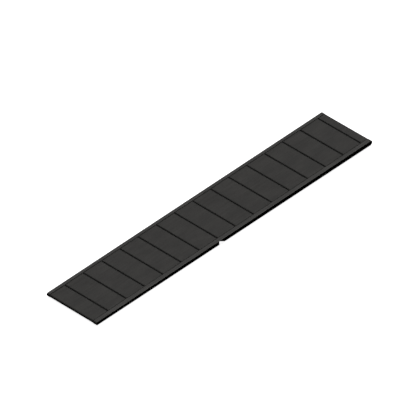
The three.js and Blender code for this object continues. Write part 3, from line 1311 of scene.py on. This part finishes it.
@dataclass
class GuideStrip:
    """The notched strip on the inner face that keeps the belt in line on its rollers.

    Attributes:
        layout: Where the belt lies.
        finishes: Its materials.
        height: Height of the teeth under the inner face.
        base: Width of the strip at the belt.
        crest: Width of the teeth at their tips.
        web: Thickness of the strip between the teeth.
        tooth: Length of a tooth along the travel.
        pitch: Distance from tooth to tooth.
        tip_round: Round at the tips.
        sink: How deep a straight strip goes into the belt.
        tooth_sink: How deep its teeth go into the web.
        bend_tooth_length: Length of a tooth in a bend.
        bend_tooth_sink: How deep such a tooth goes into the belt.
    """

    layout: LoopLayout
    finishes: Finishes
    height: float = 9 * MM
    base: float = 13 * MM
    crest: float = 8 * MM
    web: float = 2.6 * MM
    tooth: float = 19 * MM
    pitch: float = 25 * MM
    tip_round: float = 0.9 * MM
    sink: float = 0.2 * MM
    tooth_sink: float = 0.3 * MM
    bend_tooth_length: float = 12 * MM
    bend_tooth_sink: float = 0.8 * MM

    def block(self, length: float, low: float, high: float) -> Mesh:
        """Make a tapered block between two heights under the inner face.

        Args:
            length: Its length along the travel.
            low: Depth of its wide face.
            high: Depth of its narrow face.

        Returns:
            A closed mesh that starts at X 0, with Z pointing back at the belt.
        """
        slope = (self.base - self.crest) / 2 / self.height
        wide = self.base / 2 - slope * low
        narrow = self.base / 2 - slope * high
        bm = bmesh.new()
        points = [(-wide, -low), (wide, -low), (narrow, -high), (-narrow, -high)]
        face = outline_face(bm, [Vector((0.0, y, z)) for y, z in points])
        extrude_along(bm, face, Vector((length, 0.0, 0.0)))
        bmesh.ops.recalc_face_normals(bm, faces=bm.faces[:])
        return bm

    def toothed(self, length: float) -> Mesh:
        """Make a whole strip: a thin web with a row of teeth on it.

        Args:
            length: Its length along the travel.

        Returns:
            Closed meshes that overlap, in the axes of a block.
        """
        bm = self.block(length, -self.sink, self.web)
        one = self.block(self.tooth, self.web - self.tooth_sink, self.height)
        tips = [e for e in one.edges if all(v.co.z < -self.height + NEAR for v in e.verts)]
        rounded(one, tips, self.tip_round, 2)
        tooth = bpy.data.meshes.new("tooth_pattern")
        one.to_mesh(tooth)
        one.free()
        count = int((length - self.tooth) / self.pitch) + 1
        lead = (length - (count - 1) * self.pitch - self.tooth) / 2
        for index in range(count):
            before = len(bm.verts)
            bm.from_mesh(tooth)
            bm.verts.ensure_lookup_table()
            bmesh.ops.translate(bm, verts=bm.verts[before:], vec=(lead + index * self.pitch, 0.0, 0.0))
        bpy.data.meshes.remove(tooth)
        return bm

    def strip(self, node: str, start: Matrix, body: str) -> None:
        """Make the straight strip that stands for a CAD guide.

        Args:
            node: The CAD guide.
            start: The upstream end of its run.
            body: The body it rides on.
        """
        low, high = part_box(node)
        back = start.inverted()
        corners = (Vector((low.x, 0.0, low.z)), Vector((high.x, 0.0, high.z)))
        first, last = sorted((back @ corner).x for corner in corners)
        first = max(first, 0.0)
        last = min(last, self.layout.run_length)
        inner = -self.layout.section.thickness
        place = start @ Matrix.Translation((first, (low.y + high.y) / 2, inner))
        bm = self.toothed(last - first)
        bmesh.ops.transform(bm, matrix=place, verts=bm.verts[:])
        piece = to_object(bm, f"{node}_strip", [self.finishes.guide])
        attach(piece, body)
        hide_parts(node)
        log.info("%s_strip %.3f m long", node, last - first)

    def bend_tooth(self, strip: BendStrip, share: float, y: float) -> Piece:
        """Make one tooth inside a bend, wedge-shaped so that it clears its neighbours.

        Args:
            strip: The strip that it is moulded on.
            share: How far along the strip its middle is, from 0 to 1.
            y: Its middle across the belt.

        Returns:
            The tooth, not yet riding on anything.
        """
        stretch = strip.stretch
        inner_radius = stretch.radius - self.layout.section.thickness
        length = self.bend_tooth_length
        bm = self.block(length, -self.bend_tooth_sink, self.height)
        bmesh.ops.translate(bm, verts=bm.verts[:], vec=(-length / 2, 0.0, 0.0))
        tip = [v for v in bm.verts if v.co.z < -self.height + NEAR]
        bmesh.ops.scale(bm, verts=tip, vec=(1.0 - self.height / inner_radius, 1.0, 1.0))
        inward = [e for e in bm.edges if all(v in tip for v in e.verts)]
        rounded(bm, inward, self.tip_round, 2)
        turn = Matrix.Rotation(share * stretch.extent, 4, "Y")
        down = Matrix.Translation((0.0, 0.0, -stretch.radius))
        out = Matrix.Translation((0.0, y, inner_radius))
        bmesh.ops.transform(bm, matrix=stretch.start @ down @ turn @ out, verts=bm.verts[:])
        tag = f"{strip.name}_tooth_{round(share * 4)}"
        return to_object(bm, tag, [self.finishes.guide])

    def build(self, strips: list[BendStrip]) -> None:
        """Make the three straight strips and the teeth of both bends.

        Args:
            strips: The bends' strips, which the teeth are moulded on.
        """
        layout = self.layout
        self.strip("upper_tracking_guide", layout.upper_start(), "upper_run")
        self.strip("lower_right_tracking_guide", layout.lower_start(), "lower_right_run")
        self.strip("lower_left_tracking_guide", layout.lower_start(), "lower_left_run")
        low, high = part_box("upper_tracking_guide")
        y = (low.y + high.y) / 2
        for strip in strips:
            for share in TOOTH_SHARES:
                tooth = self.bend_tooth(strip, share, y)
                strip.bend(tooth, layout.section.thickness / 2)
                if share == strip.tooth_share:
                    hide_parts(f"{strip.half}_tooth")
        log.info("guide teeth round both bends")


# ---- Laced splice -------------------------------------------------------------------------


@dataclass
class Splice:
    """Two rows of folded steel clips that interlock round a cable pin.

    Attributes:
        layout: Where the belt lies.
        finishes: Its materials.
        clips: Clips in each row.
        fingers: Fingers on each clip.
        leg: How far a clip reaches back from the pin.
        sheet: Thickness of its sheet.
        spacing: Gap from clip to clip.
        finger_gap: Gap on each side of a finger.
        finger_root: Distance from the pin to the roots of the fingers.
        grip: Half the space between a clip's legs.
        fold_steps: Facets round the fold.
        staple_rows: Distance from the pin to each row of staples.
        staple_size: Width, length and height of a staple's crown.
        staple_lift: How far the middle of a crown stands off the clip.
        staple_round: Round along the crown.
        cable_radius: Radius of the pin's cable.
        strands: Strands in the cable.
        strand_relief: Depth of the valleys between strands, as a share of the radius.
        lay: Distance in which a strand goes once round.
        cable_step: Length of one facet of the cable.
        head_length: Length of the crimped head.
        head_round: Round along its rims.
    """

    layout: LoopLayout
    finishes: Finishes
    clips: int = 5
    fingers: int = 6
    leg: float = 30 * MM
    sheet: float = 1.2 * MM
    spacing: float = 0.5 * MM
    finger_gap: float = 0.6 * MM
    finger_root: float = 6 * MM
    grip: float = 2.3 * MM
    fold_steps: int = 10
    staple_rows: tuple[float, ...] = (12 * MM, 22 * MM)
    staple_size: Axes = (1.5 * MM, 8.5 * MM, 0.8 * MM)
    staple_lift: float = 0.1 * MM
    staple_round: float = 0.28 * MM
    cable_radius: float = 2.0 * MM
    strands: int = 6
    strand_relief: float = 0.2
    lay: float = 30 * MM
    cable_step: float = 4 * MM
    head_length: float = 5 * MM
    head_round: float = 0.7 * MM

    def clip(self, pitch: float) -> Mesh:
        """Fold one clip: a sheet round the pin, with slots between its fingers.

        Args:
            pitch: Distance from clip to clip across the belt.

        Returns:
            A closed mesh. The pin is along Y through the origin, and the legs point to -X.
        """
        bm = bmesh.new()
        middle = self.grip + self.sheet / 2
        stations = (-self.leg, -self.finger_root, 0.0)
        tip, root, top = (bm.verts.new((x, -pitch / 2, middle)) for x in stations)
        bm.edges.new((tip, root))
        bm.edges.new((root, top))
        bmesh.ops.spin(
            bm, geom=[top], cent=(0, 0, 0), axis=(0, 1, 0), angle=math.pi, steps=self.fold_steps
        )
        over_pin = [v for v in bm.verts if abs(v.co.x) < MERGE / 2]
        chain = [min(over_pin, key=lambda v: v.co.z)]
        for x in (-self.finger_root, -self.leg):
            chain.append(bm.verts.new((x, -pitch / 2, -middle)))
            bm.edges.new(chain[-2:])
        slot = pitch / (2 * self.fingers)
        bounds = [-pitch / 2 + self.spacing / 2]
        for index in range(self.fingers):
            gap = -pitch / 2 + slot * (2 * index + 1)
            bounds += [gap - self.finger_gap, gap + slot + self.finger_gap]
        bounds[-1] = pitch / 2 - self.spacing / 2
        edges = bm.edges[:]
        bmesh.ops.translate(bm, verts=bm.verts[:], vec=(0.0, bounds[0] + pitch / 2, 0.0))
        for before, after in zip(bounds, bounds[1:]):
            made = bmesh.ops.extrude_edge_only(bm, edges=edges)["geom"]
            verts = [item for item in made if isinstance(item, bmesh.types.BMVert)]
            edges = [item for item in made if isinstance(item, bmesh.types.BMEdge)]
            bmesh.ops.translate(bm, verts=verts, vec=(0.0, after - before, 0.0))
        slots = list(zip(bounds[1::2], bounds[2::2]))
        loops = [
            face
            for face in bm.faces
            if face.calc_center_median().x > -self.finger_root
            and any(low < face.calc_center_median().y < high for low, high in slots)
        ]
        bmesh.ops.delete(bm, geom=loops, context="FACES")
        bmesh.ops.recalc_face_normals(bm, faces=bm.faces[:])
        bmesh.ops.solidify(bm, geom=bm.faces[:], thickness=self.sheet)
        self.centre_sheet(bm, middle)
        bmesh.ops.recalc_face_normals(bm, faces=bm.faces[:])
        return bm

    def centre_sheet(self, bm: Mesh, middle: float) -> None:
        """Bring the sheet's two skins to equal distances from its middle surface.

        Args:
            bm: The clip.
            middle: Distance of the middle surface from the pin.
        """
        reach = [math.hypot(max(v.co.x, 0.0), v.co.z) for v in bm.verts]
        shift = middle - (min(reach) + max(reach)) / 2
        for vertex in bm.verts:
            radial = Vector((max(vertex.co.x, 0.0), 0.0, vertex.co.z)).normalized()
            vertex.co += radial * shift

    def staples(self, pitch: float) -> Mesh:
        """Make the staple crowns of one clip, on both legs.

        Args:
            pitch: Distance from clip to clip across the belt.

        Returns:
            Closed meshes in the clip's own axes.
        """
        bm = bmesh.new()
        width, length, height = self.staple_size
        height_off_pin = self.grip + self.sheet + self.staple_lift
        slot = pitch / self.fingers
        for back in self.staple_rows:
            for index in range(self.fingers):
                for side in (1, -1):
                    made = bmesh.ops.create_cube(bm, size=1.0)["verts"]
                    bmesh.ops.scale(bm, verts=made, vec=(width, length, height))
                    y = -pitch / 2 + slot * (index + 0.5)
                    bmesh.ops.translate(bm, verts=made, vec=(-back, y, side * height_off_pin))
        rounded(bm, bm.edges[:], self.staple_round, 2)
        return bm

    def cable(self, length: float) -> Mesh:
        """Make the pin's shank: strands laid round each other.

        Args:
            length: Length of the shank.

        Returns:
            A closed mesh that starts at the origin and runs along +Y.
        """
        bm = bmesh.new()
        around = 4 * self.strands
        circle = bmesh.ops.create_circle(bm, cap_ends=True, segments=around, radius=self.cable_radius)
        ring = circle["verts"]
        for vertex in ring:
            turn = math.atan2(vertex.co.y, vertex.co.x) * self.strands / 2
            vertex.co *= 1.0 - self.strand_relief + self.strand_relief * abs(math.cos(turn))
        bmesh.ops.rotate(bm, verts=ring, matrix=Matrix.Rotation(-math.pi / 2, 3, "X"))
        face = bm.faces[:][0]
        steps = int(length / self.cable_step)
        twist = Matrix.Rotation(2 * math.pi * length / steps / self.lay, 3, "Y")
        for step in range(steps):
            behind = face
            face = extrude_along(bm, behind, Vector((0.0, length / steps, 0.0)))
            bmesh.ops.rotate(bm, verts=face.verts[:], matrix=twist)
            if step > 0:
                bmesh.ops.delete(bm, geom=[behind], context="FACES_ONLY")
        bmesh.ops.recalc_face_normals(bm, faces=bm.faces[:])
        return bm

    def pin(self) -> None:
        """Make the pin: a cable with a crimped head at its near end."""
        low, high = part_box("splice_hinge_pin")
        middle = (low + high) / 2
        head_radius = (high.z - low.z) / 2
        bm = self.cable(high.y - low.y - self.head_length)
        bmesh.ops.translate(bm, verts=bm.verts[:], vec=(0.0, low.y + self.head_length, 0.0))
        before = len(bm.verts)
        head = bmesh.ops.create_cone(
            bm,
            cap_ends=True,
            segments=28,
            radius1=head_radius,
            radius2=head_radius,
            depth=self.head_length,
        )["verts"]
        level = [e for e in bm.edges if abs(e.verts[0].co.z - e.verts[1].co.z) < NEAR]
        rims = [e for e in level if e.verts[0] in head]
        rounded(bm, rims, self.head_round, 3)
        bm.verts.ensure_lookup_table()
        made = bm.verts[before:]
        bmesh.ops.rotate(bm, verts=made, matrix=Matrix.Rotation(math.pi / 2, 3, "X"))
        bmesh.ops.translate(bm, verts=made, vec=(0.0, low.y + self.head_length / 2, 0.0))
        bmesh.ops.translate(bm, verts=bm.verts[:], vec=(middle.x, 0.0, middle.z))
        piece = to_object(bm, "hinge_pin_cable", [self.finishes.pin])
        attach(piece, "hinge_pin")
        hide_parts("splice_hinge_pin")
        log.info("hinge_pin_cable %.3f m long", high.y - low.y)

    def clip_pair(self, node: str, body: str, place: Matrix, pitch: float) -> None:
        """Make one clip and its staples where a CAD clip stands.

        Args:
            node: The CAD clip.
            body: The body it rides on.
            place: Takes the clip's own axes to the frame.
            pitch: Distance from clip to clip across the belt.
        """
        clip = self.clip(pitch)
        bmesh.ops.transform(clip, matrix=place, verts=clip.verts[:])
        piece = to_object(clip, f"{node}_folded", [self.finishes.clip])
        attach(piece, body)
        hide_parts(node)
        crowns = self.staples(pitch)
        bmesh.ops.transform(crowns, matrix=place, verts=crowns.verts[:])
        row = to_object(crowns, f"{node}_staples", [self.finishes.staple])
        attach(row, body)

    def build(self) -> None:
        """Make both rows of clips, their staples and the pin."""
        pin_low, pin_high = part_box("splice_hinge_pin")
        axis = (pin_low + pin_high) / 2
        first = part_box("splice_clip_right_1")[0].y - self.spacing / 2
        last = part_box(f"splice_clip_right_{self.clips}")[1].y + self.spacing / 2
        pitch = (last - first) / self.clips
        for side, turned in (("right", math.pi), ("left", 0.0)):
            body = f"lower_{side}_run"
            for index in range(self.clips):
                y = first + pitch * (index + 0.5)
                place = Matrix.Translation((axis.x, y, axis.z)) @ Matrix.Rotation(turned, 4, "Z")
                self.clip_pair(f"splice_clip_{side}_{index + 1}", body, place, pitch)
            log.info("%d clips on %s", self.clips, body)
        self.pin()


# ---- Studio -------------------------------------------------------------------------------


@dataclass
class Studio:
    """A pale floor, soft light and a long lens.

    Attributes:
        azimuth: Where the camera stands round the belt.
        elevation: How high it looks down from.
        frame_width: Width of the view at the belt.
        lens: Focal length in millimetres.
        sensor: Width of the sensor in millimetres.
        sight_drop: How far under the top of the belt's box the view is centred.
        aim_right: How far to the right of the belt's middle the camera looks.
        aim_up: How far above the belt's middle it looks.
        clip_range: Nearest and farthest distance that it sees.
        floor_size: Side of the floor.
        floor_drop: How far the floor lies under the belt.
        floor_glow: Brightness of the floor.
        light_from: Where the light comes from.
        glow: Brightness of the room on that side.
        shade: Brightness of the room on the other side.
        key_energy: Strength of the lamp.
        key_spread: How wide the lamp is, seen from the belt.
    """

    azimuth: float = math.radians(-46.6)
    elevation: float = math.radians(38.3)
    frame_width: float = 6.323
    lens: float = 1000.0
    sensor: float = 36.0
    sight_drop: float = 17 * MM
    aim_right: float = -0.043
    aim_up: float = 0.117
    clip_range: tuple[float, float] = (1.0, 900.0)
    floor_size: float = 600.0
    floor_drop: float = 0.2 * MM
    floor_glow: float = 0.92
    light_from: Axes = (0.42, 0.36, 1.0)
    glow: float = 2.1
    shade: float = 0.26
    key_energy: float = 2.1
    key_spread: float = math.radians(30)

    def floor(self) -> None:
        """Lay a bright floor just under the lowest cleat. It lights nothing above it."""
        bm = bmesh.new()
        bmesh.ops.create_grid(bm, x_segments=1, y_segments=1, size=self.floor_size / 2)
        level = CAD_BOUNDS[0].z - self.floor_drop
        bmesh.ops.translate(bm, verts=bm.verts[:], vec=(0.0, 0.0, level))
        board = Board("studio_floor")
        cloud = board.noise(board.place(), 0.6, 2.0)
        colour = board.mix(board.band(cloud, 0.3, 0.7), rgb(0.86, 0.86, 0.86), rgb(0.9, 0.9, 0.9))
        board.shader.inputs["Emission Color"].default_value = rgb(1.0, 1.0, 1.0)
        board.shader.inputs["Emission Strength"].default_value = self.floor_glow
        floor = to_object(bm, "studio_floor", [board.finish(colour, 0.9, highlight=0.0)])
        floor.visible_diffuse = False
        floor.visible_glossy = False

    def light(self) -> None:
        """Light the room from a broad bright patch above, behind and to the right."""
        towards = Vector(self.light_from).normalized()
        world = bpy.data.worlds.new("studio_world")
        world.use_nodes = True
        nodes = world.node_tree.nodes
        links = world.node_tree.links
        place = nodes.new("ShaderNodeTexCoord")
        facing = nodes.new("ShaderNodeVectorMath")
        facing.operation = "DOT_PRODUCT"
        facing.inputs[1].default_value = towards
        fall = nodes.new("ShaderNodeMapRange")
        fall.interpolation_type = "SMOOTHSTEP"
        fall.inputs["From Min"].default_value = 0.0
        fall.inputs["From Max"].default_value = 1.0
        fall.inputs["To Min"].default_value = self.shade
        fall.inputs["To Max"].default_value = self.glow
        links.new(place.outputs["Generated"], facing.inputs[0])
        links.new(facing.outputs["Value"], fall.inputs["Value"])
        links.new(fall.outputs["Result"], nodes["Background"].inputs["Strength"])
        bpy.context.scene.world = world
        lamp = bpy.data.lights.new("soft_key", "SUN")
        lamp.energy = self.key_energy
        lamp.angle = self.key_spread
        key = bpy.data.objects.new("soft_key", lamp)
        key.rotation_mode = "QUATERNION"
        key.rotation_quaternion = towards.to_track_quat("Z", "Y")
        bpy.context.scene.collection.objects.link(key)

    def camera(self) -> None:
        """Set the camera at the viewing angle, far off behind a long lens."""
        low, high = CAD_BOUNDS
        back = Vector(
            (
                math.sin(self.azimuth) * math.cos(self.elevation),
                -math.cos(self.azimuth) * math.cos(self.elevation),
                math.sin(self.elevation),
            )
        )
        turn = (-back).to_track_quat("-Z", "Y")
        right = turn @ Vector((1.0, 0.0, 0.0))
        up = turn @ Vector((0.0, 1.0, 0.0))
        middle = (low + high) / 2
        top = Vector((middle.x, middle.y, high.z - self.sight_drop))
        aim = top + right * self.aim_right + up * self.aim_up
        data = bpy.data.cameras.new("studio_camera")
        data.lens = self.lens
        data.sensor_width = self.sensor
        data.clip_start, data.clip_end = self.clip_range
        camera = bpy.data.objects.new("studio_camera", data)
        camera.rotation_mode = "QUATERNION"
        camera.rotation_quaternion = turn
        camera.location = aim + back * (self.frame_width * self.lens / self.sensor)
        bpy.context.scene.collection.objects.link(camera)
        bpy.context.scene.camera = camera

    def build(self) -> None:
        """Set up the whole studio."""
        bpy.context.scene.view_settings.view_transform = "Standard"
        self.floor()
        self.light()
        self.camera()
        log.info("studio ready")


def main() -> None:
    """Build the belt piece by piece, then the studio."""
    logging.basicConfig(level=logging.INFO, format="%(name)s: %(message)s")
    layout = LoopLayout.from_frame(BeltSection())
    finishes = Finishes.make(layout)
    panels = BeltPanels(layout, finishes)
    Studio().build()
    panels.build()
    bends = EndBends(layout, panels)
    bends.build()
    Cleats(layout, finishes).build()
    GuideStrip(layout, finishes).build(bends.strips())
    Splice(layout, finishes).build()


if __name__ == "__main__":
    main()
